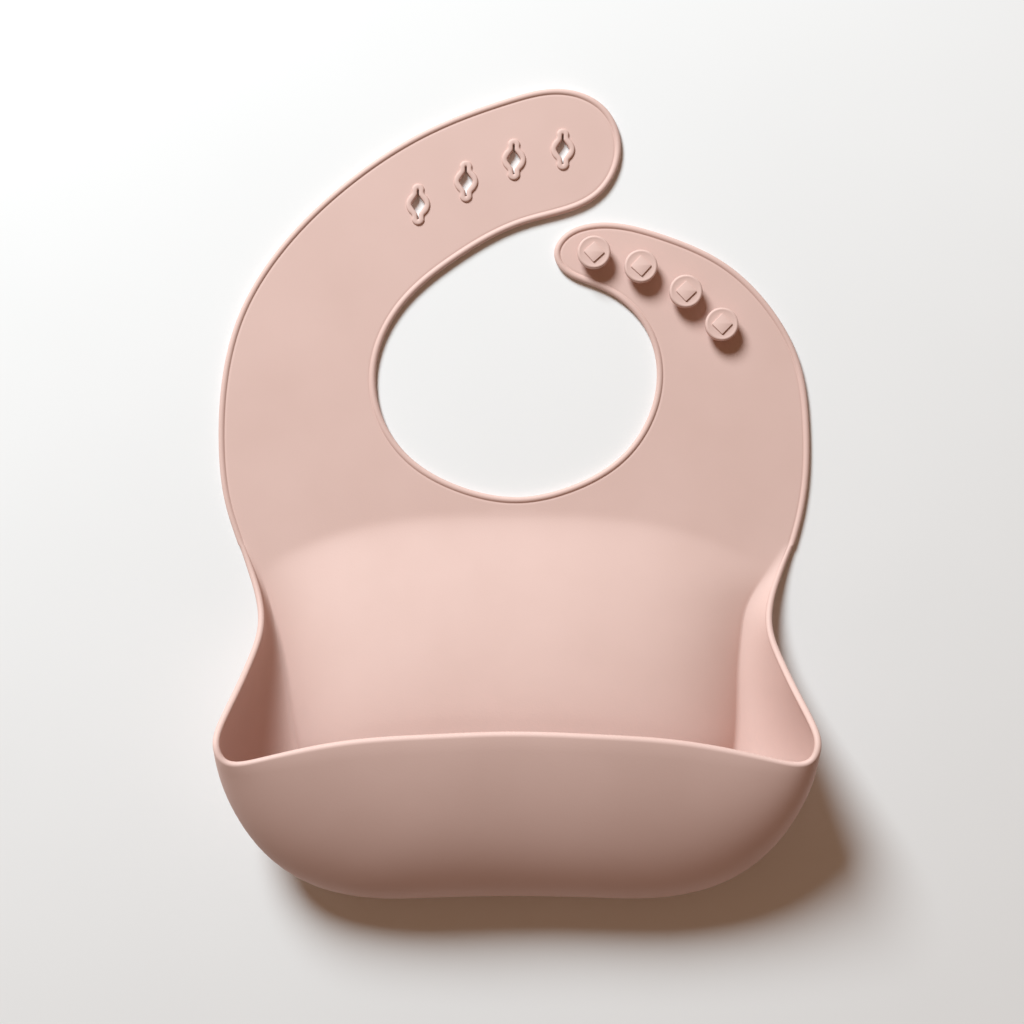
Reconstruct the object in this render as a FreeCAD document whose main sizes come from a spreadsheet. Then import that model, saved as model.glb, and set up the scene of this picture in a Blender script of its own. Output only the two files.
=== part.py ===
# Silicone bib lying on its back: collar with two straps, chest panel and catch pocket.
# Millimetres. +Z is up, away from the surface the bib lies on, +Y points to the straps, and the
# origin is the middle of the footprint.
import FreeCAD, Part
import math
import os
from FreeCAD import Placement, Rotation, Vector

doc = FreeCAD.newDocument("silicone_bib")

# ---------------------------------------------------------------------------------------------
# Driving dimensions
# ---------------------------------------------------------------------------------------------
sheet = doc.addObject("Spreadsheet::Sheet", "Dimensions")
DIMENSIONS = [
    ("sheet_thickness", 2.0),
    ("bead_width", 2.6),
    ("bead_height", 2.5),
    ("bead_round", 1.0),
    ("fold_line", -7.5),
    ("shoulder_line", 24.0),
    ("rim_start_line", -18.0),
    ("joint_gap", 0.3),
    ("front_crease_height", 12.0),
    ("front_crease_gap", 1.2),
    ("side_crease_gap", 0.25),
    ("dome_height", 18.0),
    ("lip_height", 46.5),
    ("rim_radius", 1.25),
    ("rim_gap", 0.4),
    ("lip_radius", 1.75),
    ("front_half_width", 60.0),
    ("button_stem_radius", 3.2),
    ("button_head_radius", 6.2),
    ("button_stem_height", 3.0),
    ("button_head_height", 3.2),
    ("button_round", 0.8),
    ("badge_side", 5.5),
    ("badge_height", 0.5),
    ("badge_turn", 0.0),
    ("slot_lobe_radius", 4.45),
    ("slot_end_radius", 2.35),
    ("slot_end_offset", 5.4),
    ("slot_slit_length", 11.0),
    ("slot_slit_width", 0.8),
    ("slot_hole_radius", 2.35),
    ("slot_height", 2.8),
]
for row, (alias, value) in enumerate(DIMENSIONS, start=1):
    sheet.set("A%d" % row, alias)
    sheet.set("B%d" % row, "%g" % value)
    sheet.setAlias("B%d" % row, alias)
doc.recompute()


def size(alias):
    return float(sheet.get(alias))


# ---------------------------------------------------------------------------------------------
# Outline of the collar and the upper chest, from the left waist round both straps to the right
# waist. The material lies to the right of the direction of travel.
# ---------------------------------------------------------------------------------------------
COLLAR_OUTLINE = [
    # left flank and the outside of the slotted strap
    (-95.7, -42), (-103.2, -19.2), (-107.7, -5.2), (-110.5, 19), (-109.4, 41),
    (-102.8, 67.2), (-88.2, 91.4), (-64.2, 115.4), (-34.2, 135.2), (-1.4, 148),
    # slotted strap's tip
    (18, 151.3), (34, 144.6), (40.2, 128.8), (32.4, 111.6),
    # neck opening
    (4.6, 100.8), (-21.6, 87.2), (-41.6, 69.8), (-51.2, 48.8), (-50.2, 31.8), (-39.6, 14.2),
    (-20.6, 2.8), (1.4, -1.4), (22.4, 3.2), (40.4, 14.2), (51.4, 31.8), (53.4, 46.8),
    (48.8, 62), (41, 71), (33, 76), (24.8, 79.2),
    # button strap's tip
    (17.2, 84), (15, 90), (18.6, 96.7), (27, 100.6),
    # outside of the button strap and the right flank
    (55.8, 96.8), (79.2, 86), (96.4, 69.2), (106.8, 49.8), (110.5, 25.8), (110, 2.8),
    (105.2, -19.2), (96.2, -42),
]

BUTTON_CENTRES = [(29.7, 89.3), (47.1, 84.1), (63.8, 74.8), (77.1, 62.6)]
SLOT_CENTRES = [(-35.8, 107.9), (-17.9, 116.5), (0.0, 124.7), (18.3, 128.5)]

# Left half of the catch pocket's wall: stations from the waist round the bottom corner to the
# middle of the front. Each is a cubic curve in the wall's mid-surface, from the crease at the
# back panel (first point) to the middle of the rim (last point).
MID = size("sheet_thickness") / 2
TOP = size("lip_height")
RIM = size("rim_radius")
WALL_STATIONS = [
    [(-98.8, -19, MID), (-99.9, -18.9, MID), (-101, -18.8, 1.1), (-101.9, -18.7, RIM)],
    [(-94.6, -31.5, MID), (-95.8, -31, 1.3), (-97, -30.5, 2), (-97.8, -30, 3)],
    [(-91.2, -43, MID), (-92.5, -42.8, 1.8), (-93.8, -42, 4), (-94.3, -41.5, 7)],
    [(-88.9, -53, MID), (-91.5, -53, 1.8), (-93.3, -52, 6.5), (-93.6, -51, 12)],
    [(-86.6, -64, MID), (-91.5, -64, 1.5), (-95.3, -62.5, 10), (-96.2, -61.3, 19)],
    [(-84.8, -75, MID), (-93.5, -75, 1.2), (-98.8, -73, 15), (-99.5, -71, 28.5)],
    [(-83, -86, MID), (-95.5, -87, MID), (-102.2, -84, 19), (-102.8, -80, 38)],
    [(-80.8, -97, MID), (-97, -99, MID), (-105.3, -96, 25), (-104.3, -87.2, 44.5)],
    [(-76.5, -109, MID), (-94.5, -114.5, MID), (-107.5, -111, 31), (-101.2, -93.2, 46)],
    [(-70, -120, MID), (-87, -143.5, MID), (-99, -133, 35), (-89, -92.2, 46)],
    [(-60, -127.5, MID), (-60, -161.5, MID), (-60, -151, 33), (-60, -86, 46)],
    [(0, -133, MID), (0, -161.2, MID), (0, -155.8, 34), (0, -82.9, TOP)],
]
# The right half is the left one mirrored, a little wider at its rim and narrower at its crease:
# how far outwards the crease and the rim of each station stand.
RIGHT_SHIFTS = [
    (1.9, 2.0), (-1.2, 1.4), (-4.0, 0.9), (-3.6, 0.9), (-2.4, 1.2), (-1.0, 1.5), (0.4, 1.8),
    (1.4, 2.1), (1.9, 2.2), (1.5, 1.5), (0, 0),
]


def smooth_curve(points):
    """A smooth curve through points given as (x, y) or (x, y, z)."""
    curve = Part.BSplineCurve()
    curve.interpolate([Vector(*p) for p in points])
    return curve


def inset_curve(curve, distance, steps=110):
    """The curve that runs at a distance to the right of a flat curve."""
    first, last = curve.FirstParameter, curve.LastParameter
    points = []
    for i in range(steps + 1):
        at = first + (last - first) * i / steps
        along = curve.tangent(at)[0]
        offset = Vector(along.y, -along.x, 0) * distance
        points.append(curve.value(at) + offset)
    result = Part.BSplineCurve()
    result.interpolate(points)
    return result


OUTLINE = smooth_curve(COLLAR_OUTLINE)
INSET = inset_curve(OUTLINE, size("bead_width"))


# ---------------------------------------------------------------------------------------------
# Helpers for bodies made of sketches
# ---------------------------------------------------------------------------------------------
def new_body(label):
    body = doc.addObject("PartDesign::Body", label)
    body.Label = label
    return body


def new_sketch(body, name, plane="XY_Plane"):
    sketch = body.newObject("Sketcher::SketchObject", name)
    origin_plane = [f for f in body.Origin.OriginFeatures if f.Role == plane][0]
    sketch.AttachmentSupport = [(origin_plane, "")]
    sketch.MapMode = "FlatFace"
    return sketch


def add_polygon(sketch, corners):
    count = len(corners)
    for i in range(count):
        start = Vector(corners[i][0], corners[i][1], 0)
        end = Vector(corners[(i + 1) % count][0], corners[(i + 1) % count][1], 0)
        sketch.addGeometry(Part.LineSegment(start, end), False)


def add_pad(body, sketch, name, length):
    pad = body.newObject("PartDesign::Pad", name)
    pad.Profile = sketch
    pad.setExpression("Length", length)
    doc.recompute()
    return pad


def keep_only(body, label, corners):
    """Cut away all of a body outside a polygon."""
    frame = new_sketch(body, label + "_trim_sketch")
    add_polygon(frame, [(-400, -400), (400, -400), (400, 400), (-400, 400)])
    add_polygon(frame, corners)
    pocket = body.newObject("PartDesign::Pocket", label + "_trim")
    pocket.Profile = frame
    pocket.Type = 1
    pocket.Midplane = True
    doc.recompute()
    body.Tip = pocket
    return pocket


def rectangle(x_low, x_high, y_low, y_high):
    return [(x_low, y_low), (x_high, y_low), (x_high, y_high), (x_low, y_high)]


def plate(label, corners):
    """Part of the flat collar sheet inside a polygon."""
    body = new_body(label)
    sketch = new_sketch(body, label + "_sketch")
    sketch.addGeometry(INSET, False)
    sketch.addGeometry(Part.LineSegment(INSET.EndPoint, INSET.StartPoint), False)
    add_pad(body, sketch, label + "_pad", "Dimensions.sheet_thickness")
    keep_only(body, label, corners)
    return body


def edge_bead(label, corners):
    """Part of the raised bead round the collar inside a polygon."""
    body = new_body(label)
    sketch = new_sketch(body, label + "_sketch")
    sketch.addGeometry(OUTLINE, False)
    sketch.addGeometry(Part.LineSegment(OUTLINE.EndPoint, INSET.EndPoint), False)
    sketch.addGeometry(INSET, False)
    sketch.addGeometry(Part.LineSegment(INSET.StartPoint, OUTLINE.StartPoint), False)
    pad = add_pad(body, sketch, label + "_pad", "Dimensions.bead_height")
    keep_only(body, label, corners)
    trimmed = body.Tip
    height = size("bead_height")
    rounded = []
    for number, edge in enumerate(trimmed.Shape.Edges, start=1):
        flat = all(abs(v.Z - height) < 1e-6 for v in edge.Vertexes)
        if flat and edge.Curve.TypeId == "Part::GeomBSplineCurve":
            rounded.append("Edge%d" % number)
    fillet = body.newObject("PartDesign::Fillet", label + "_round")
    fillet.Base = (trimmed, rounded)
    fillet.setExpression("Radius", "Dimensions.bead_round")
    doc.recompute()
    return body


def slotted_outline(body, name, x, y):
    """Two sketches of a slot's rim: a round middle lobe and a long stadium with round ends."""
    lobe = new_sketch(body, name + "_lobe_sketch")
    lobe.addGeometry(Part.Circle(Vector(x, y, 0), Vector(0, 0, 1), size("slot_lobe_radius")))
    reach = size("slot_end_offset")
    radius = size("slot_end_radius")
    stadium = new_sketch(body, name + "_stadium_sketch")
    add_stadium(stadium, x, y, reach, radius)
    return lobe, stadium


def add_stadium(sketch, x, y, reach, radius):
    top = Part.Circle(Vector(x, y + reach, 0), Vector(0, 0, 1), radius)
    bottom = Part.Circle(Vector(x, y - reach, 0), Vector(0, 0, 1), radius)
    sketch.addGeometry(Part.ArcOfCircle(top, 0, math.pi), False)
    sketch.addGeometry(Part.ArcOfCircle(bottom, math.pi, 2 * math.pi), False)
    left, right = x - radius, x + radius
    sketch.addGeometry(
        Part.LineSegment(Vector(left, y + reach, 0), Vector(left, y - reach, 0)), False
    )
    sketch.addGeometry(
        Part.LineSegment(Vector(right, y - reach, 0), Vector(right, y + reach, 0)), False
    )


def pocket_through(body, sketch, name):
    pocket = body.newObject("PartDesign::Pocket", name)
    pocket.Profile = sketch
    pocket.Type = 1
    pocket.Midplane = True
    doc.recompute()
    body.Tip = pocket


def slot_rim(label, x, y):
    """Raised rim round one slot, set into the strap, with a pointed hole and its two slits."""
    body = new_body(label)
    lobe, stadium = slotted_outline(body, label, 0, 0)
    add_pad(body, lobe, label + "_lobe", "Dimensions.slot_height")
    add_pad(body, stadium, label + "_stadium", "Dimensions.slot_height")
    hole = new_sketch(body, label + "_hole_sketch")
    reach = size("slot_slit_length") / 2
    half = size("slot_slit_width") / 2
    radius = size("slot_hole_radius")
    add_polygon(
        hole,
        [(half, reach), (-half, reach), (-half, radius + 0.6), (-radius, 0),
         (-half, -radius - 0.6), (-half, -reach), (half, -reach), (half, -radius - 0.6),
         (radius, 0), (half, radius + 0.6)],
    )
    pocket_through(body, hole, label + "_hole")
    body.Placement = Placement(Vector(x, y, 0), Rotation())
    return body


def button(label, x, y):
    """Mushroom button: round stem, wider head with rounded edges, raised square on top."""
    body = new_body(label)
    sketch = new_sketch(body, label + "_sketch", "XZ_Plane")
    stem, head = size("button_stem_radius"), size("button_head_radius")
    low = size("sheet_thickness")
    under = low + size("button_stem_height")
    top = under + size("button_head_height")
    add_polygon(sketch, [(0, low), (stem, low), (stem, under), (head, under), (head, top), (0, top)])
    turned = body.newObject("PartDesign::Revolution", label + "_turned")
    turned.Profile = sketch
    turned.ReferenceAxis = (sketch, ["V_Axis"])
    turned.Angle = 360
    doc.recompute()
    rim = []
    for number, edge in enumerate(turned.Shape.Edges, start=1):
        if edge.Curve.TypeId != "Part::GeomCircle":
            continue
        if abs(edge.Curve.Radius - head) < 1e-6:
            rim.append("Edge%d" % number)
    rounded = body.newObject("PartDesign::Fillet", label + "_round")
    rounded.Base = (turned, rim)
    rounded.setExpression("Radius", "Dimensions.button_round")
    doc.recompute()
    badge = new_sketch(body, label + "_badge_sketch")
    badge.AttachmentOffset = Placement(Vector(0, 0, top - 0.2), Rotation())
    half = size("badge_side") / math.sqrt(2)
    turn = math.radians(size("badge_turn"))
    corners = [
        (half * math.cos(turn + k * math.pi / 2), half * math.sin(turn + k * math.pi / 2))
        for k in range(4)
    ]
    add_polygon(badge, corners)
    add_pad(body, badge, label + "_badge", "Dimensions.badge_height + 0.2")
    body.Placement = Placement(Vector(x, y, 0), Rotation())
    return body


# ---------------------------------------------------------------------------------------------
# Flat collar: yoke and two straps, each with its share of the edge bead
# ---------------------------------------------------------------------------------------------
FOLD = size("fold_line")
SHOULDER = size("shoulder_line")
RIM_START = size("rim_start_line")
GAP = size("joint_gap") / 2

yoke = plate("collar_yoke", rectangle(-130, 130, FOLD + GAP, SHOULDER - GAP))
edge_bead("left_collar_edge", rectangle(-130, -80, FOLD + GAP, SHOULDER - GAP))
edge_bead("right_collar_edge", rectangle(80, 130, FOLD + GAP, SHOULDER - GAP))
edge_bead("neck_edge", rectangle(-70, 70, FOLD + GAP, SHOULDER - GAP))
edge_bead("left_panel_edge", rectangle(-130, -60, RIM_START, FOLD - GAP))
edge_bead("right_panel_edge", rectangle(60, 130, RIM_START, FOLD - GAP))

# The straps interleave in x, so each is kept inside a polygon that runs between the two.
SLOTTED_SIDE = [(-130, SHOULDER + GAP), (0, SHOULDER + GAP), (0, 93), (24, 105.5), (60, 112),
                (60, 170), (-130, 170)]
BUTTON_SIDE = [(0, SHOULDER + GAP), (130, SHOULDER + GAP), (130, 110), (60, 112), (24, 105.5),
               (0, 93)]


def strap_with_slots(label):
    body = plate(label, SLOTTED_SIDE)
    for number, (x, y) in enumerate(SLOT_CENTRES, start=1):
        name = "%s_seat_%d" % (label, number)
        lobe, stadium = slotted_outline(body, name, x, y)
        pocket_through(body, lobe, name + "_lobe")
        pocket_through(body, stadium, name + "_stadium")
    return body


strap_with_slots("slotted_strap")
edge_bead("slotted_strap_edge", SLOTTED_SIDE)
for number, (x, y) in enumerate(SLOT_CENTRES, start=1):
    slot_rim("slot_rim_%d" % number, x, y)

plate("button_strap", BUTTON_SIDE)
edge_bead("button_strap_edge", BUTTON_SIDE)
for number, (x, y) in enumerate(BUTTON_CENTRES, start=1):
    button("button_%d" % number, x, y)


# ---------------------------------------------------------------------------------------------
# Doubly curved sheets: domed back panel and the walls of the catch pocket
# ---------------------------------------------------------------------------------------------
def add_solid(label, shape):
    part = doc.addObject("Part::Feature", label)
    part.Label = label
    part.Shape = shape
    return part


def smoothstep(t):
    t = min(1.0, max(0.0, t))
    return t * t * (3 - 2 * t)


def crease_half_width(x, y):
    """How far from the middle the crease on one side of the back panel lies."""
    crease = [station[0] for station in (LEFT_WALL if x < 0 else RIGHT_WALL)]
    for (x0, y0, z0), (x1, y1, z1) in zip(crease, crease[1:]):
        if y1 <= y <= y0:
            return abs(x0 + (x1 - x0) * (y - y0) / (y1 - y0))
    return abs(crease[0][0] if y > crease[0][1] else crease[-1][0])


def dome(x, y):
    """Height of the underside of the back panel, which bulges towards the pocket."""
    side = min(1.0, abs(x) / crease_half_width(x, y))
    round_share = 0.25 if x < 0 else 0.4
    across = round_share * (1 - side ** 2) + (1 - round_share) * (1 - side ** 7)
    top_line = FOLD - 10 * (abs(x) / 75) ** 3
    t = min(1.0, max(0.0, (top_line - y) / 75))
    rise = 1 - (1 - 1.08 * t * t / (t + 0.08)) ** 1.7
    return size("dome_height") * across * rise * smoothstep((y + 132) / 40)


def crease_border(points):
    """Smooth line just inside a run of crease points, given as vectors."""
    clearance = size("side_crease_gap")
    border = []
    for i, point in enumerate(points):
        along = points[min(i + 1, len(points) - 1)] - points[max(i - 1, 0)]
        along.normalize()
        border.append(Vector(point.x - along.y * clearance, point.y + along.x * clearance, 0))
    return border


def back_panel_shape():
    """Domed sheet inside the crease, closed at the top by the fold line."""
    left = crease_border([Vector(*station[0]) for station in LEFT_WALL])
    right = crease_border([Vector(*station[0]) for station in reversed(RIGHT_WALL)])
    front = crease_border([Vector(*front_station(x)[0]) for x in range(-60, 61, 15)])
    left[0].y = right[-1].y = RIM_START
    front[0], front[-1] = left[-1], right[0]
    runs = [smooth_curve(run).toShape() for run in (left, front, right)]
    lower_face = Part.Face(Part.Wire(runs + [Part.makeLine(right[-1], left[0])]))
    sheet_face = Part.Face(
        Part.Wire([INSET.toShape(), Part.makeLine(INSET.EndPoint, INSET.StartPoint)])
    )
    upper_zone = Part.makePlane(260, FOLD - GAP - RIM_START, Vector(-130, RIM_START, 0))
    thick = Vector(0, 0, 60)
    upper_prism = sheet_face.extrude(thick).common(upper_zone.extrude(thick))
    prism = lower_face.extrude(thick).fuse(upper_prism).removeSplitter()
    prism.translate(Vector(0, 0, -5))
    grid = [
        [Vector(4 * i, 5 * k, dome(4 * i, 5 * k)) for k in range(-29, 3)]
        for i in range(-28, 29)
    ]
    surface = Part.BSplineSurface()
    surface.interpolate(grid)
    slab = surface.toShape().extrude(Vector(0, 0, size("sheet_thickness")))
    return slab.common(prism).Solids[0]


def on_cubic(curve, v):
    a, b, c, d = [Vector(*p) for p in curve]
    u = 1 - v
    return a * (u * u * u) + b * (3 * u * u * v) + c * (3 * u * v * v) + d * (v * v * v)


def right_station(station, shifts):
    """A station mirrored to the right side, with its crease and its rim moved outwards."""
    crease, rim = shifts
    return [(-x + crease + (rim - crease) * k / 3, y, z) for k, (x, y, z) in enumerate(station)]


def parameter_at(curve, test):
    """Lowest curve parameter at which the test holds, found by halving the interval."""
    low, high = 0.0, 1.0
    for _ in range(40):
        middle = (low + high) / 2
        if test(on_cubic(curve, middle)):
            high = middle
        else:
            low = middle
    return high


def normal_at(rows, i, k):
    """Unit normal of a grid of points at one of them."""
    along = rows[min(i + 1, len(rows) - 1)][k] - rows[max(i - 1, 0)][k]
    across = rows[i][min(k + 1, len(rows[i]) - 1)] - rows[i][max(k - 1, 0)]
    return along.cross(across).normalize()


def offset_point(rows, i, k, way):
    """Point of a skin: off the mid-surface by a distance, and never below the table."""
    point = rows[i][k] + normal_at(rows, i, k) * way
    return Vector(point.x, point.y, max(point.z, 0))


def thick_sheet(rows):
    """Solid sheet about a grid of mid-surface points: two skins joined round their borders."""
    half = size("sheet_thickness") / 2
    skins = []
    for way in (half, -half):
        skin = Part.BSplineSurface()
        skin.interpolate([
            [offset_point(rows, i, k, way) for k in range(len(row))]
            for i, row in enumerate(rows)
        ])
        skins.append(skin)
    borders = []
    for skin in skins:
        u_low, u_high, v_low, v_high = skin.bounds()
        borders.append([
            skin.uIso(u_low), skin.uIso(u_high), skin.vIso(v_low), skin.vIso(v_high)
        ])
    faces = [skin.toShape() for skin in skins]
    for one, other in zip(*borders):
        wires = [Part.Wire([one.toShape()]), Part.Wire([other.toShape()])]
        faces += Part.makeLoft(wires, False, True).Faces
    shell = Part.makeShell(faces)
    shell.sewShape()
    solid = Part.Solid(shell)
    solid.fix(0.001, 0.001, 0.001)
    if solid.Volume < 0:
        solid.reverse()
    return solid


def even_stations(stations, count):
    """More stations, evenly spaced between the given ones along smooth lines."""
    tracks = [[Vector(*station[k]) for station in stations] for k in range(4)]
    travelled = [0.0]
    for i in range(1, len(stations)):
        steps = [(track[i] - track[i - 1]).Length for track in tracks]
        travelled.append(travelled[-1] + sum(steps) / 4)
    curves = []
    for track in tracks:
        curve = Part.BSplineCurve()
        curve.interpolate(Points=track, Parameters=travelled)
        curves.append(curve)
    result = []
    for i in range(count + 1):
        at = travelled[-1] * i / count
        result.append([tuple(curve.value(at)) for curve in curves])
    return result


def wall_rows(stations, start, stop, steps=14):
    """Points on the stations between two curve parameters, given as functions of a station."""
    rows = []
    for station in stations:
        low, high = start(station), stop(station)
        rows.append([on_cubic(station, low + (high - low) * k / steps) for k in range(steps + 1)])
    return rows


def to_rim(rim, radius):
    """The wall stops just short of the bead that runs along its rim."""
    clearance = radius + size("rim_gap")

    def stop(station):
        return parameter_at(station, lambda p: (p - rim.value(rim.parameter(p))).Length < clearance)

    return stop


def front_station(x):
    """A station of the front wall, in the plane at x: straight between the two that bound it."""
    corner, middle = WALL_STATIONS[-2], WALL_STATIONS[-1]
    share = (x / corner[0][0]) ** 2
    return [
        (x, m[1] + (c[1] - m[1]) * share, m[2] + (c[2] - m[2]) * share)
        for c, m in zip(corner, middle)
    ]


HALF = size("front_half_width")
CREASE_HEIGHT = size("front_crease_height")
HALF_CREASE = size("front_crease_gap") / 2


def below_hinge(station):
    return parameter_at(station, lambda p: p.z > CREASE_HEIGHT - HALF_CREASE)


def above_hinge(station):
    return parameter_at(station, lambda p: p.z > CREASE_HEIGHT + HALF_CREASE)


front_xs = [-HALF + 2 * GAP, -40.0, -20.0, 0.0, 20.0, 40.0, HALF - 2 * GAP]
FRONT = [front_station(x) for x in front_xs]
left_stations = WALL_STATIONS[:-2] + [
    [(-HALF - 2 * GAP, y, z) for x, y, z in WALL_STATIONS[-2]]
]
LEFT_WALL = even_stations(left_stations, 36)
right_stations = [right_station(*pair) for pair in zip(left_stations, RIGHT_SHIFTS)]
RIGHT_WALL = even_stations(right_stations, 36)


def round_bead(centres, radius):
    """Bead of round section along a smooth line."""
    line = smooth_curve(centres)
    spine = Part.Wire([line.toShape()])
    start = line.value(line.FirstParameter)
    along = line.tangent(line.FirstParameter)[0]
    section = Part.Wire([Part.Circle(start, along, radius).toShape()])
    return spine.makePipeShell([section], True, True)


def rim_bead(stations, sign):
    """The bead along the rim of a side wall, from the end of the panel's edge bead."""
    centres = [station[3] for station in stations[::3]]
    centres[0] = (centres[0][0] + sign * 0.2, RIM_START - 0.5, RIM + 0.05)
    return round_bead(centres, RIM)


add_solid("back_panel", back_panel_shape())


def base(station):
    return 0.0


def rim_line(stations):
    return smooth_curve([station[3] for station in stations[::3]])


for side, stations in (("left", LEFT_WALL), ("right", RIGHT_WALL)):
    rows = wall_rows(stations, base, to_rim(rim_line(stations), RIM))
    add_solid("pocket_%s_wall" % side, thick_sheet(rows))
add_solid("pocket_bottom", thick_sheet(wall_rows(FRONT, base, below_hinge)))
lip_line = smooth_curve([station[3] for station in FRONT])
front_rows = wall_rows(FRONT, above_hinge, to_rim(lip_line, size("lip_radius")))
add_solid("pocket_front_wall", thick_sheet(front_rows))

for side, stations, sign in (("left", LEFT_WALL, -1), ("right", RIGHT_WALL, 1)):
    add_solid("pocket_%s_rim" % side, rim_bead(stations, sign))
lip_xs = [-HALF + 0.5, -40.0, -20.0, 0.0, 20.0, 40.0, HALF - 0.5]
add_solid("pocket_lip", round_bead([front_station(x)[3] for x in lip_xs], size("lip_radius")))

# ---------------------------------------------------------------------------------------------
# Check and write every node
# ---------------------------------------------------------------------------------------------
doc.recompute()
os.makedirs("parts", exist_ok=True)
for old in os.listdir("parts"):
    os.remove(os.path.join("parts", old))
nodes = [o for o in doc.Objects if o.TypeId in ("PartDesign::Body", "Part::Feature")]
for node in nodes:
    problems = [s for s in node.State if s in ("Invalid", "Error")]
    shape = node.Shape
    sound = not shape.isNull() and shape.isValid() and len(shape.Solids) == 1
    if problems or not sound:
        raise RuntimeError("%s: %s solids=%d" % (node.Label, problems, len(shape.Solids)))
    shape.exportStep("parts/%s.step" % node.Label)
    box = shape.BoundBox
    print("%-22s %8.0f mm3  x %.1f..%.1f  y %.1f..%.1f  z %.1f..%.1f" % (
        node.Label, shape.Volume, box.XMin, box.XMax, box.YMin, box.YMax, box.ZMin, box.ZMax))
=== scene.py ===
# Silicone bib on a pale table, seen from straight above.
# Lengths are written in millimetres in the part's frame and turned into metres by MM.
import math

import bpy
import numpy as np
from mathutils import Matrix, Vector
from mathutils.geometry import delaunay_2d_cdt


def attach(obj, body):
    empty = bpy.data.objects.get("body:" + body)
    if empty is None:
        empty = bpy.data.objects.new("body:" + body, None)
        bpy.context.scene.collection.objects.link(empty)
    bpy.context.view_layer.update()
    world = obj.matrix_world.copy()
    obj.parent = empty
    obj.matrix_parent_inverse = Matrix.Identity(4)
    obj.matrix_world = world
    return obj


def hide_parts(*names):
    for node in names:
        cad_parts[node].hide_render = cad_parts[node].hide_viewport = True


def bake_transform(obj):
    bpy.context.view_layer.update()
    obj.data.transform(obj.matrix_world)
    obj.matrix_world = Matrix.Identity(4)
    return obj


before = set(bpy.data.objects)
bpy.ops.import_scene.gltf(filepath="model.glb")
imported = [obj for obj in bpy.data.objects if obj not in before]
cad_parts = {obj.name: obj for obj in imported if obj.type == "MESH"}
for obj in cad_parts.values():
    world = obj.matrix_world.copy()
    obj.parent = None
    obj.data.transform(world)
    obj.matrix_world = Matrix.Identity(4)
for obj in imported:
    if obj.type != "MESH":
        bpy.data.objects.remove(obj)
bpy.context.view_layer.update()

MM = 0.001

# --- the collar ------------------------------------------------------------------------------
# Outline from the left waist round both straps to the right waist; the sheet lies to its right.
COLLAR = [
    (-95.7, -42), (-103.2, -19.2), (-107.7, -5.2), (-110.5, 19), (-109.4, 41),
    (-102.8, 67.2), (-88.2, 91.4), (-64.2, 115.4), (-34.2, 135.2), (-1.4, 148),
    (18, 151.3), (34, 144.6), (40.2, 128.8), (32.4, 111.6),
    (4.6, 100.8), (-21.6, 87.2), (-41.6, 69.8), (-51.2, 48.8), (-50.2, 31.8), (-39.6, 14.2),
    (-20.6, 2.8), (1.4, -1.4), (22.4, 3.2), (40.4, 14.2), (51.4, 31.8), (53.4, 46.8),
    (48.8, 62), (41, 71), (33, 76), (24.8, 79.2),
    (17.2, 84), (15, 90), (18.6, 96.7), (27, 100.6),
    (55.8, 96.8), (79.2, 86), (96.4, 69.2), (106.8, 49.8), (110.5, 25.8), (110, 2.8),
    (105.2, -19.2), (96.2, -42),
]
COLLAR_SPACING = 2.0  # between rows of points round the collar
SHEET_SPACING = 2.0  # between points inside the sheet
STEEP_BAND = 8.5  # how far in the sheet's points follow the pocket's crease
THICK = 2.0  # the sheet
BEAD = 1.25  # radius of the bead along the edge
LIP_BEAD = 1.55  # radius of the bead along the front of the pocket
SKIRT = 4.5  # width of the band that carries the bead
FOLD_LINE = -7.5  # the collar folds up here
SHOULDER_LINE = 24.0  # the straps curl up here
RIM_START = -19.0  # the collar's edge turns into the pocket's rim here

# --- the pocket ------------------------------------------------------------------------------
# Stations of the left half of the pocket's wall, from the waist round the corner to the middle
# of the front: four points of a cubic in the wall's mid-surface, from the crease to the rim.
STATIONS = [
    [(-98.8, -19, 1), (-99.9, -18.9, 1), (-101, -18.8, 1.1), (-101.9, -18.7, 1.25)],
    [(-94.6, -31.5, 1), (-95.8, -31, 1.3), (-97, -30.5, 2), (-97.8, -30, 3)],
    [(-91.2, -43, 1), (-92.5, -42.8, 1.8), (-93.8, -42, 4), (-94.3, -41.5, 7)],
    [(-88.9, -53, 1), (-91.5, -53, 1.8), (-93.3, -52, 6.5), (-93.6, -51, 12)],
    [(-86.6, -64, 1), (-91.5, -64, 1.5), (-95.3, -62.5, 10), (-96.2, -61.3, 19)],
    [(-84.8, -75, 1), (-93.5, -75, 1.2), (-98.8, -73, 15), (-99.5, -71, 28.5)],
    [(-83, -86, 1), (-95.5, -87, 1), (-102.2, -84, 19), (-102.8, -80, 38)],
    [(-80.8, -97, 1), (-97, -99, 1), (-105.3, -96, 25), (-104.3, -87.6, 44.5)],
    [(-76.5, -109, 1), (-94.5, -114.5, 1), (-107.5, -111, 31), (-101.2, -94.2, 46)],
    [(-70, -120, 1), (-87, -143.5, 1), (-99, -133, 34), (-89, -94.2, 46)],
    [(-60, -127.5, 1), (-60, -161.5, 1), (-60, -152.5, 32), (-60, -88.6, 46)],
    [(-30, -131.6, 1), (-30, -160.6, 1), (-30, -154, 34), (-30, -86.2, 46.4)],
    [(0, -133, 1), (0, -159, 1), (0, -153.5, 34), (0, -85.2, 46.5)],
]
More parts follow.
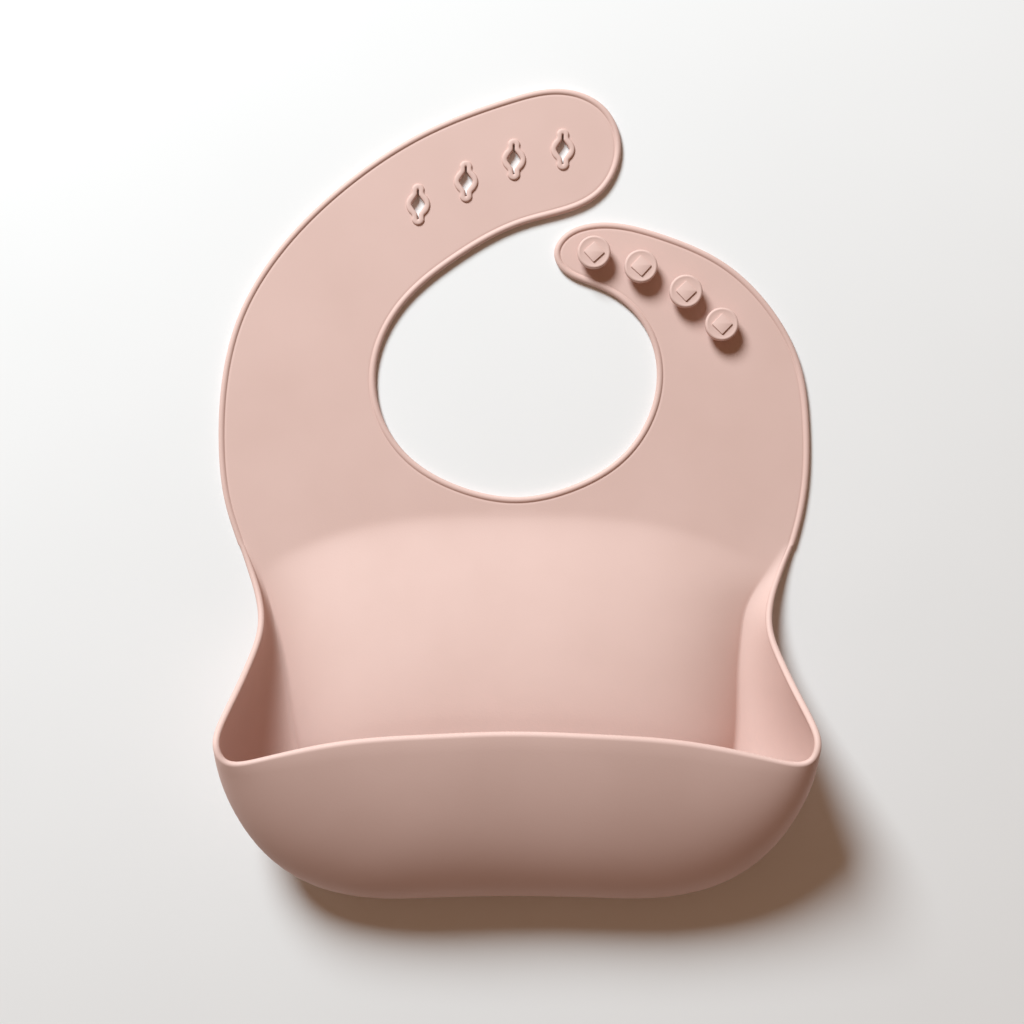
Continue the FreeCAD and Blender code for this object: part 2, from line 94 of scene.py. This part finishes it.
# The right half is the left one mirrored, a little wider at its rim and narrower at its crease:
# how far outwards the crease and the rim of each station stand.
RIGHT_SHIFTS = [
    (1.9, 2.0), (-1.2, 1.4), (-4.0, 0.9), (-3.6, 0.9), (-2.4, 1.2), (-1.0, 1.5), (0.4, 1.8),
    (1.4, 2.1), (1.9, 2.2), (1.5, 1.5), (0, 0), (0, 0), (0, 0),
]
POCKET_SPACING = 1.6  # between rows of points round the pocket
CORNER = 60.0  # half the straight stretch of the front
SEAM_HEIGHT = 14.0  # the mould's faint parting groove round the pocket
SEAM_DEPTH = 0.22
DOME_HEIGHT = 18.0
DOME_RUN = 75.0  # how far the dome takes to rise from the fold line
DOME_END = -132.0  # the dome ends here, and comes down over DOME_FADE
DOME_FADE = 40.0
WALL_STEPS = 26
LINE_STEPS = 60
WAIST_ROWS = 14.0  # rows over which the rim rises off the sheet at each waist
SEAM_STEPS = (-0.9, -0.45, -0.2, 0.0, 0.2, 0.45, 0.9)
SIDE_STEPS = WALL_STEPS + len(SEAM_STEPS)
ARC_STEPS = 12


# --- curves ----------------------------------------------------------------------------------
def spline(points, travelled, at):
    """Natural cubic spline through points placed at distances travelled, read at some of them."""
    points = np.asarray(points, float)
    count = len(points)
    gap = np.diff(travelled)
    matrix = np.eye(count)
    right = np.zeros_like(points)
    for i in range(1, count - 1):
        matrix[i, i - 1:i + 2] = gap[i - 1], 2 * (gap[i - 1] + gap[i]), gap[i]
        right[i] = 6 * ((points[i + 1] - points[i]) / gap[i] - (points[i] - points[i - 1]) / gap[i - 1])
    bend = np.linalg.solve(matrix, right)
    k = np.clip(np.searchsorted(travelled, at, side="right") - 1, 0, count - 2)
    width = gap[k][:, None]
    before = (at - travelled[k])[:, None]
    after = width - before
    curve = (bend[k] * after ** 3 + bend[k + 1] * before ** 3) / (6 * width)
    curve += (points[k] / width - bend[k] * width / 6) * after
    curve += (points[k + 1] / width - bend[k + 1] * width / 6) * before
    return curve


def distances(points):
    steps = np.linalg.norm(np.diff(points, axis=0), axis=1)
    return np.concatenate([[0.0], np.cumsum(steps)])


def even_path(points, spacing):
    """Evenly spaced points on the smooth curve through some points."""
    points = np.asarray(points, float)
    rough = distances(points)
    fine = 4000
    dense = spline(points, rough, np.linspace(0, rough[-1], fine))
    along = distances(dense)
    wanted = np.linspace(0, along[-1], int(round(along[-1] / spacing)) + 1)
    return np.stack([np.interp(wanted, along, dense[:, k]) for k in range(dense.shape[1])], 1)


def smoothstep(t):
    t = np.clip(t, 0, 1)
    return t * t * (3 - 2 * t)


# --- heights of the flat part ----------------------------------------------------------------
def right_stations():
    """The stations of the right half of the wall, from the waist to the middle of the front."""
    stations = np.array(STATIONS, float) * [-1, 1, 1]
    crease, rim = np.array(RIGHT_SHIFTS).T
    for k in range(4):
        stations[:, k, 0] += crease + (rim - crease) * k / 3
    return stations


RIGHT_STATIONS = right_stations()


def pocket_tracks(spacing):
    """The four control lines of the pocket's wall, evenly spaced from waist to waist."""
    stations = np.concatenate([np.array(STATIONS, float), RIGHT_STATIONS[:-1][::-1]])
    steps = np.linalg.norm(np.diff(stations, axis=0), axis=2).mean(1)
    travelled = np.concatenate([[0.0], np.cumsum(steps)])
    at = np.linspace(0, travelled[-1], int(travelled[-1] / spacing) + 1)
    return [spline(stations[:, k], travelled, at) for k in range(4)]


CREASE = pocket_tracks(0.4)[0]
LEFT_CREASE = CREASE[CREASE[:, 0] < -CORNER]
RIGHT_CREASE = CREASE[CREASE[:, 0] > CORNER][::-1]


def dome(x, y):
    """The back panel bulges up between the pocket's side walls, steepest near the creases."""
    left, right = [
        np.interp(-y, -line[:, 1], np.abs(line[:, 0])) for line in (LEFT_CREASE, RIGHT_CREASE)
    ]
    side = np.minimum(1.0, np.abs(x) / np.where(x < 0, left, right))
    round_share = np.where(x < 0, 0.25, 0.4)
    across = round_share * (1 - side ** 2) + (1 - round_share) * (1 - side ** 7)
    top_line = FOLD_LINE - 10 * (np.abs(x) / 75) ** 3
    t = np.clip((top_line - y) / DOME_RUN, 0, 1)
    soft = 0.08
    rise = 1 - (1 - (1 + soft) * t * t / (t + soft)) ** 1.5
    return DOME_HEIGHT * across * rise * smoothstep((y - DOME_END) / DOME_FADE)


# --- the edge band: collar rim, pocket walls and pocket rim in one closed ring ----------------
def collar_rows():
    """Rows of the band round the collar: across the sheet's edge and round its bead."""
    outline = even_path(COLLAR, COLLAR_SPACING)
    near = 40
    low = np.argmin(np.abs(outline[:near, 1] - RIM_START))
    high = len(outline) - near + np.argmin(np.abs(outline[-near:, 1] - RIM_START))
    along = np.gradient(outline, axis=0)
    along /= np.linalg.norm(along, axis=1)[:, None]
    inward = np.stack([along[:, 1], -along[:, 0]], 1)
    rows = []
    first = math.asin((THICK - BEAD) / BEAD)
    arc = np.linspace(first, 1.5 * math.pi, ARC_STEPS + 1)
    foot = BEAD + BEAD * math.cos(first)
    share = np.linspace(0, 1, SIDE_STEPS + 1)
    top = SKIRT + (foot - SKIRT) * share[:-1] ** 0.7
    groove = -0.08 * np.exp(-((top - foot - 0.25) / 0.35) ** 2)
    bottom = BEAD + (SKIRT - BEAD) * share[1:]
    for edge, inner in zip(outline[low:high + 1], inward[low:high + 1]):
        section = [(d, THICK + g) for d, g in zip(top, groove)]
        section += [(BEAD + BEAD * math.cos(a), BEAD + BEAD * math.sin(a)) for a in arc]
        section += [(d, 0.0) for d in bottom]
        rows.append([(edge[0] + inner[0] * d, edge[1] + inner[1] * d, z) for d, z in section])
    return np.array(rows)


def pocket_rows():
    """Rows of the band round the pocket: up the inside of the wall, over the rim and down."""
    tracks = pocket_tracks(POCKET_SPACING)
    count = len(tracks[0]) - 1
    v = np.linspace(0, 1, LINE_STEPS + 1)[:, None]
    basis = [(1 - v) ** 3, 3 * (1 - v) ** 2 * v, 3 * (1 - v) * v ** 2, v ** 3]
    middle = np.stack([
        sum(b * track[i] for b, track in zip(basis, tracks)) for i in range(count + 1)
    ])
    across = np.gradient(middle, axis=1)
    along = np.gradient(middle, axis=0)
    normal = np.cross(across, along)
    normal /= np.linalg.norm(normal, axis=2)[:, :, None]
    rows = []
    for i in range(count + 1):
        rise = smoothstep(min(i, count - i) / WAIST_ROWS)
        line, facing = middle[i], normal[i]
        length = distances(line)
        rim = line[-1]
        lip = smoothstep((100 - abs(rim[0])) / 30) * smoothstep((rim[2] - 34) / 6)
        bead = BEAD + (LIP_BEAD - BEAD) * lip
        first = math.asin((THICK - bead) / bead)
        stop = max(length[-1] - bead * math.cos(first), 0.4)
        seam = min(np.interp(SEAM_HEIGHT, line[:, 2], length), 0.6 * stop)
        depth = SEAM_DEPTH * smoothstep((rim[2] - 22) / 15)
        reach = min(1.0, 0.25 * stop)
        wanted = np.sort(np.concatenate([
            np.linspace(0, stop, WALL_STEPS + 1)[:-1], seam + np.array(SEAM_STEPS) * reach
        ]))
        wall = np.stack([np.interp(wanted, length, line[:, k]) for k in range(3)], 1)
        turn = np.stack([np.interp(wanted, length, facing[:, k]) for k in range(3)], 1)
        groove = depth * np.exp(-((wanted - seam) / 0.3) ** 2)
        back = line[-4] - line[-1]
        back /= np.linalg.norm(back)
        up = facing[-1]
        centre = rim + up * (bead - THICK / 2) * rise
        row = list(wall + turn * THICK / 2)
        for a in np.linspace(first, 1.5 * math.pi, ARC_STEPS + 1):
            row.append(centre + bead * (math.cos(a) * back + math.sin(a) * up))
        row += list((wall - turn * (THICK / 2 - groove[:, None]))[::-1])
        rows.append(row)
    rows = np.array(rows)
    rows[:, :, 2] = np.maximum(rows[:, :, 2], 0)
    return rows


# --- holes for the slots -----------------------------------------------------------------------
SLOTS = [(-35.8, 107.9), (-17.9, 116.5), (0.0, 124.7), (18.3, 128.5)]
BUTTONS = [(29.7, 89.3, 42), (47.1, 84.1, 48), (63.8, 74.8, 44), (77.1, 62.6, 46)]
SLOT_POINTS = 72


def quarter_loop(half_width, reach, count):
    """Evenly spaced points on a closed outline given by its half width at each height."""
    h = reach * np.sin(np.linspace(0, math.pi / 2, 400))
    quarter = np.stack([half_width(h), h], 1)
    quarter[-1, 0] = 0
    along = distances(quarter)
    wanted = np.linspace(0, along[-1], count // 4 + 1)[:-1]
    upper_right = np.stack([np.interp(wanted, along, quarter[:, k]) for k in range(2)], 1)
    end = np.array([[0.0, reach]])
    upper_left = np.concatenate([end, upper_right[1:][::-1] * [-1, 1]])
    half = np.concatenate([upper_right, upper_left])
    return np.concatenate([half, -half])


def rim_width(h):
    """Half width of a slot's raised rim: a round middle lobe and two smaller end lobes."""
    lobe_radius, end_radius, end_offset, waist = 4.45, 2.35, 5.4, 2.2
    lobe = np.sqrt(np.maximum(lobe_radius ** 2 - h ** 2, 0))
    end = np.sqrt(np.maximum(end_radius ** 2 - (h - end_offset) ** 2, 0))
    end = np.where(h < end_offset, waist, end)
    sharp = 6.0
    return (lobe ** sharp + end ** sharp) ** (1 / sharp)


def hole_width(h):
    """Half width of a slot's hole: a pointed middle with a fine slit above and below."""
    slit, swell, reach = 0.32, 2.15, 3.0
    blunt = np.sqrt(h ** 2 + 0.25) - 0.5
    return slit + swell * np.maximum(1 - blunt / reach, 0)


RIM_REACH = 7.75  # half the length of a slot's rim
HOLE_REACH = 5.5  # half the length of its slit
RIM_LOOP = quarter_loop(rim_width, RIM_REACH, SLOT_POINTS)
HOLE_LOOP = quarter_loop(hole_width, HOLE_REACH, SLOT_POINTS)


# --- one closed skin ---------------------------------------------------------------------------
def inside(points, polygon):
    """Which points lie inside a closed polygon."""
    x, y = points[:, 0], points[:, 1]
    result = np.zeros(len(points), bool)
    for (x0, y0), (x1, y1) in zip(polygon, np.roll(polygon, -1, axis=0)):
        crosses = (y0 > y) != (y1 > y)
        at = (x1 - x0) * (y - y0) / (y1 - y0 + 1e-12) + x0
        result ^= crosses & (x < at)
    return result


def nearest(points, polygon):
    return np.array([np.min(np.hypot(*(polygon - p).T)) for p in points])


def inner_rows(border, reach):
    """Rows of points along the inside of an open line, out to a distance from it."""
    along = np.gradient(border[:, :2], axis=0)
    along /= np.linalg.norm(along, axis=1)[:, None]
    inward = np.stack([along[:, 1], -along[:, 0]], 1)
    return np.concatenate([border[:, :2] + inward * d for d in np.arange(1, reach + 0.1, 1.25)])


def fill(border, holes, creased, spacing, height):
    """Triangles that fill a border but not its holes: points and triples of their numbers.

    Points follow the border closely from number creased on, where the sheet rises steeply.
    """
    flat = border[:, :2]
    steep = border[creased:]
    low, high = flat.min(0), flat.max(0)
    xs = np.arange(low[0], high[0], spacing)
    ys = np.arange(low[1], high[1], spacing * 0.866)
    grid = np.array([(x + spacing / 2 * (k % 2), y) for k, y in enumerate(ys) for x in xs])
    keep = inside(grid, flat)
    for hole in holes:
        keep &= ~inside(grid, hole[:, :2])
    grid = grid[keep]
    clear = nearest(grid, flat) > spacing * 0.7
    for hole in holes:
        clear &= nearest(grid, hole[:, :2]) > spacing * 0.6
    clear &= nearest(grid, steep[:, :2]) > STEEP_BAND + 1.0
    rows = inner_rows(steep, STEEP_BAND)
    rows = rows[inside(rows, flat) & (nearest(rows, flat) > 0.9)]
    grid = np.concatenate([grid[clear], rows])
    grid = np.column_stack([grid, height(grid[:, 0], grid[:, 1])])
    given = np.concatenate([border] + holes + [grid])
    edges, start = [], 0
    for loop in [border] + holes:
        edges += [(start + i, start + (i + 1) % len(loop)) for i in range(len(loop))]
        start += len(loop)
    found = delaunay_2d_cdt([Vector(p[:2]) for p in given], edges, [], 0, 1e-5)
    sources = found[3]
    points = np.array([given[source[0]] for source in sources])
    faces = np.array([f for f in found[2] if len(f) == 3])
    middle = points[faces].mean(1)
    keep = inside(middle, flat)
    for hole in holes:
        keep &= ~inside(middle, hole[:, :2])
    return points, faces[keep]


class Skin:
    """Points and faces of the whole moulding, with points that coincide joined."""

    def __init__(self):
        self.points = []
        self.faces = []
        self.groups = []
        self.index = {}

    def point(self, p):
        key = tuple(float(c) for c in p)
        if key not in self.index:
            self.index[key] = len(self.points)
            self.points.append(key)
        return self.index[key]

    def face(self, corners, group):
        ids = [self.point(p) for p in corners]
        unique = [i for n, i in enumerate(ids) if i != ids[n - 1]]
        if len(unique) > 2:
            self.faces.append(unique)
            self.groups.append(group)


collar = collar_rows()
pocket = pocket_rows()
pocket[0] = collar[0]
pocket[-1] = collar[-1]
# The collar's rows run from the left waist over the straps to the right waist and the pocket's
# from the left waist round the front, so the ring is the collar and then the pocket backwards.
ring = np.concatenate([collar, pocket[::-1][1:-1]])

skin = Skin()
for i in range(len(ring)):
    one, other = ring[i], ring[(i + 1) % len(ring)]
    group = "collar" if i < len(collar) - 1 else "pocket"
    for k in range(ring.shape[1] - 1):
        skin.face([one[k], other[k], other[k + 1], one[k + 1]], group)

hole_tops, hole_bottoms = [], []
for centre in SLOTS:
    loop = RIM_LOOP * 0.95 + np.array(centre)
    hole_tops.append(np.column_stack([loop, np.full(len(loop), THICK)]))
    hole_bottoms.append(np.column_stack([loop, np.zeros(len(loop))]))
for border, holes, base, upward in (
    (ring[:, 0], hole_tops, THICK, True),
    (ring[:, -1], hole_bottoms, 0.0, False),
):
    made, faces = fill(
        border, holes, len(collar), SHEET_SPACING, lambda x, y: base + dome(x, y)
    )
    for f in faces:
        corners = [made[i] for i in f]
        turn = np.cross(corners[1][:2] - corners[0][:2], corners[2][:2] - corners[0][:2])
        if (turn > 0) != upward:
            corners.reverse()
        skin.face(corners, "sheet")

# --- pieces ------------------------------------------------------------------------------------
def new_piece(name, points, faces, normals=None):
    mesh = bpy.data.meshes.new(name)
    mesh.from_pydata([tuple(float(c) * MM for c in p) for p in points], [], faces)
    mesh.shade_smooth()
    if normals is not None:
        mesh.normals_split_custom_set_from_vertices([tuple(n) for n in normals])
    obj = bpy.data.objects.new(name, mesh)
    bpy.context.collection.objects.link(obj)
    return obj


whole = bpy.data.meshes.new("whole")
whole.from_pydata(skin.points, [], skin.faces)
whole.update()
normals = np.array([tuple(v.normal) for v in whole.vertices])
centres = np.array([tuple(f.center) for f in whole.polygons])
bpy.data.meshes.remove(whole)
points = np.array(skin.points)
groups = np.array(skin.groups)


def region(name, chosen):
    """The faces of the moulding for which chosen is true, as a piece of its own."""
    faces = [skin.faces[i] for i in np.flatnonzero(chosen)]
    used = sorted({i for f in faces for i in f})
    place = {old: new for new, old in enumerate(used)}
    faces = [[place[i] for i in f] for f in faces]
    return new_piece(name, points[used], faces, normals[used])


SLOTTED_SIDE = np.array([
    (-130, 20), (0, 20), (0, 93), (24, 105.5), (60, 112), (60, 170), (-130, 170)
], float)
height = centres[:, 1]
in_pocket = groups == "pocket"
on_straps = (height > SHOULDER_LINE) & ~in_pocket
slotted = on_straps & inside(centres[:, :2], SLOTTED_SIDE)

pocket_piece = region("pocket_walls", in_pocket)
panel_piece = region("chest_panel", (height <= FOLD_LINE) & ~in_pocket)
collar_piece = region(
    "collar_ring", (height > FOLD_LINE) & (height <= SHOULDER_LINE) & ~in_pocket
)
slotted_piece = region("slotted_strap_skin", slotted)
button_piece = region("button_strap_skin", on_straps & ~slotted)


def strip_mesh(rings, closed_end=False):
    """Points and quads between rings of the same number of points."""
    number = len(rings[0])
    points = np.concatenate(rings)
    faces = []
    for r in range(len(rings) - 1):
        for i in range(number):
            j = (i + 1) % number
            a, b = r * number, (r + 1) * number
            faces.append((a + i, a + j, b + j, b + i))
    if closed_end:
        faces.append(tuple(range((len(rings) - 1) * number, len(rings) * number)))
    return points, faces


def joined(parts):
    points, faces, start = [], [], 0
    for some_points, some_faces in parts:
        points.append(some_points)
        faces += [tuple(start + i for i in f) for f in some_faces]
        start += len(some_points)
    return np.concatenate(points), faces


# Each slot's rim, from the foot outside, over the top, down the hole and back below: share of
# the way from the hole to the outside, and height.
RIM_PROFILE = [
    (1.03, 1.9), (1.01, 2.15), (0.97, 2.45), (0.90, 2.65), (0.78, 2.77), (0.62, 2.82), (0.42, 2.82),
    (0.25, 2.77), (0.11, 2.65), (0.03, 2.42), (0.0, 2.1), (0.0, 1.2), (0.0, 0.2), (0.02, 0.0),
    (0.95, 0.0),
]
slot_parts = []
for centre in SLOTS:
    rings = []
    for share, z in RIM_PROFILE:
        loop = HOLE_LOOP + (RIM_LOOP - HOLE_LOOP) * share + np.array(centre)
        rings.append(np.column_stack([loop, np.full(len(loop), z)]))
    slot_parts.append(strip_mesh(rings))
slots_piece = new_piece("slot_rims", *joined(slot_parts))

# Half section of a button from its foot to the middle of its top: radius and height.
BUTTON_PROFILE = [
    (4.2, 1.9), (3.7, 2.05), (3.4, 2.4), (3.2, 3.0), (3.15, 4.2), (3.35, 4.7), (3.8, 4.92),
    (5.2, 5.0), (5.7, 5.1), (6.0, 5.35), (6.15, 5.8), (6.18, 6.4), (6.18, 7.2), (6.1, 7.65),
    (5.9, 7.98), (5.6, 8.14), (5.35, 8.17), (5.1, 8.12), (4.8, 8.06), (3.6, 8.05), (0.6, 8.05),
]
turns = np.linspace(0, 2 * math.pi, 73)[:-1]


def rounded_square(side, corner, turn):
    """Outline of a square with rounded corners, turned about its middle."""
    loop = []
    half = side / 2 - corner
    for k in range(4):
        base = k * math.pi / 2
        for a in np.linspace(0, math.pi / 2, 7):
            x = half + corner * math.cos(a)
            y = half + corner * math.sin(a)
            loop.append((
                x * math.cos(base) - y * math.sin(base), x * math.sin(base) + y * math.cos(base)
            ))
    loop = np.array(loop)
    c, s = math.cos(turn), math.sin(turn)
    return loop @ np.array([[c, s], [-s, c]])


button_parts = []
for x, y, turn in BUTTONS:
    rings = [
        np.column_stack([x + r * np.cos(turns), y + r * np.sin(turns), np.full(len(turns), z)])
        for r, z in BUTTON_PROFILE
    ]
    button_parts.append(strip_mesh(rings, closed_end=True))
    rings = []
    for grow, z in ((0.02, 7.95), (0.0, 8.45), (-0.05, 8.56), (-0.14, 8.6)):
        loop = rounded_square(5.5 + 2 * grow, 0.35, math.radians(turn))
        rings.append(np.column_stack([loop + (x, y), np.full(len(loop), z)]))
    button_parts.append(strip_mesh(rings, closed_end=True))
buttons_piece = new_piece("strap_buttons", *joined(button_parts))

# --- material ----------------------------------------------------------------------------------
def silicone():
    """Matt dusty pink silicone with a fine grain, faint mottling and an uneven sheen."""
    material = bpy.data.materials.new("silicone")
    material.use_nodes = True
    nodes, links = material.node_tree.nodes, material.node_tree.links
    shader = nodes["Principled BSDF"]
    place = nodes.new("ShaderNodeTexCoord")

    def noise(scale, detail):
        node = nodes.new("ShaderNodeTexNoise")
        node.inputs["Scale"].default_value = scale
        node.inputs["Detail"].default_value = detail
        links.new(place.outputs["Object"], node.inputs["Vector"])
        return node

    cloud = noise(28, 3)
    tint = nodes.new("ShaderNodeValToRGB")
    tint.color_ramp.elements[0].position = 0.3
    tint.color_ramp.elements[0].color = (0.655, 0.458, 0.402, 1)
    tint.color_ramp.elements[1].position = 0.7
    tint.color_ramp.elements[1].color = (0.685, 0.484, 0.428, 1)
    links.new(cloud.outputs["Fac"], tint.inputs["Fac"])
    links.new(tint.outputs["Color"], shader.inputs["Base Color"])
    sheen = nodes.new("ShaderNodeMapRange")
    sheen.inputs["To Min"].default_value = 0.54
    sheen.inputs["To Max"].default_value = 0.68
    links.new(noise(90, 4).outputs["Fac"], sheen.inputs["Value"])
    links.new(sheen.outputs["Result"], shader.inputs["Roughness"])
    shader.inputs["Specular IOR Level"].default_value = 0.35
    grain = noise(1500, 4)
    bump = nodes.new("ShaderNodeBump")
    bump.inputs["Strength"].default_value = 0.12
    bump.inputs["Distance"].default_value = 0.0002
    links.new(grain.outputs["Fac"], bump.inputs["Height"])
    links.new(bump.outputs["Normal"], shader.inputs["Normal"])
    return material


def table_top():
    """Pale, slightly warm table surface."""
    material = bpy.data.materials.new("table_top")
    material.use_nodes = True
    nodes, links = material.node_tree.nodes, material.node_tree.links
    shader = nodes["Principled BSDF"]
    place = nodes.new("ShaderNodeTexCoord")
    noise = nodes.new("ShaderNodeTexNoise")
    noise.inputs["Scale"].default_value = 12
    links.new(place.outputs["Object"], noise.inputs["Vector"])
    tint = nodes.new("ShaderNodeValToRGB")
    tint.color_ramp.elements[0].color = (0.80, 0.81, 0.805, 1)
    tint.color_ramp.elements[1].color = (0.83, 0.84, 0.835, 1)
    links.new(noise.outputs["Fac"], tint.inputs["Fac"])
    links.new(tint.outputs["Color"], shader.inputs["Base Color"])
    shader.inputs["Roughness"].default_value = 0.7
    return material


pink = silicone()
pieces = [pocket_piece, panel_piece, collar_piece, slotted_piece, button_piece, slots_piece,
          buttons_piece]
for piece in pieces:
    piece.data.materials.append(pink)

# --- what each piece moves with ----------------------------------------------------------------
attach(panel_piece, "bib_pocket")
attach(slots_piece, "slotted_strap")
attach(buttons_piece, "button_strap")
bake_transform(pocket_piece)
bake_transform(collar_piece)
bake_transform(slotted_piece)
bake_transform(button_piece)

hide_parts("pocket_left_wall", "pocket_right_wall", "pocket_left_rim",
            "pocket_right_rim", "pocket_bottom", "pocket_front_wall", "pocket_lip")
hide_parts("back_panel", "left_panel_edge", "right_panel_edge")
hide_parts("collar_yoke", "left_collar_edge", "right_collar_edge", "neck_edge")
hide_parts("slotted_strap", "slotted_strap_edge")
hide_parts("slot_rim_1", "slot_rim_2", "slot_rim_3", "slot_rim_4")
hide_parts("button_strap", "button_strap_edge")
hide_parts("button_1", "button_2", "button_3", "button_4")

# --- table, light and camera -------------------------------------------------------------------
TABLE_REACH = 3000.0
TABLE_HEIGHT = -0.05  # just below the bib, so that the two never share a plane
corners = [(-1, -1), (1, -1), (1, 1), (-1, 1)]
floor = new_piece(
    "table", [(x * TABLE_REACH, y * TABLE_REACH, TABLE_HEIGHT) for x, y in corners], [(0, 1, 2, 3)]
)
floor.data.materials.append(table_top())


def area_light(name, place, towards, size, power, colour):
    data = bpy.data.lights.new(name, "AREA")
    data.shape = "DISK"
    data.size = size
    data.energy = power
    data.color = colour
    light = bpy.data.objects.new(name, data)
    light.location = place
    light.rotation_euler = (Vector(towards) - Vector(place)).to_track_quat("-Z", "Y").to_euler()
    bpy.context.collection.objects.link(light)
    return light


area_light("window", (-0.75, 1.43, 1.26), (0, 0, 0), 0.8, 61, (0.92, 1.0, 1.045))
world = bpy.data.worlds.new("room")
world.use_nodes = True
world.node_tree.nodes["Background"].inputs["Color"].default_value = (1.0, 0.58, 0.37, 1)
world.node_tree.nodes["Background"].inputs["Strength"].default_value = 0.22
bpy.context.scene.world = world
bpy.context.scene.view_settings.view_transform = "Standard"

# The camera looks straight down on a stretch of the table this wide.
CAMERA_HEIGHT = 650.0
VIEW_WIDTH = 384.0
camera_data = bpy.data.cameras.new("camera")
camera_data.sensor_width = 36.0
camera_data.lens = camera_data.sensor_width * CAMERA_HEIGHT / VIEW_WIDTH
camera = bpy.data.objects.new("camera", camera_data)
camera.location = (-0.7 * MM, -7.05 * MM, CAMERA_HEIGHT * MM)
bpy.context.collection.objects.link(camera)
bpy.context.scene.camera = camera
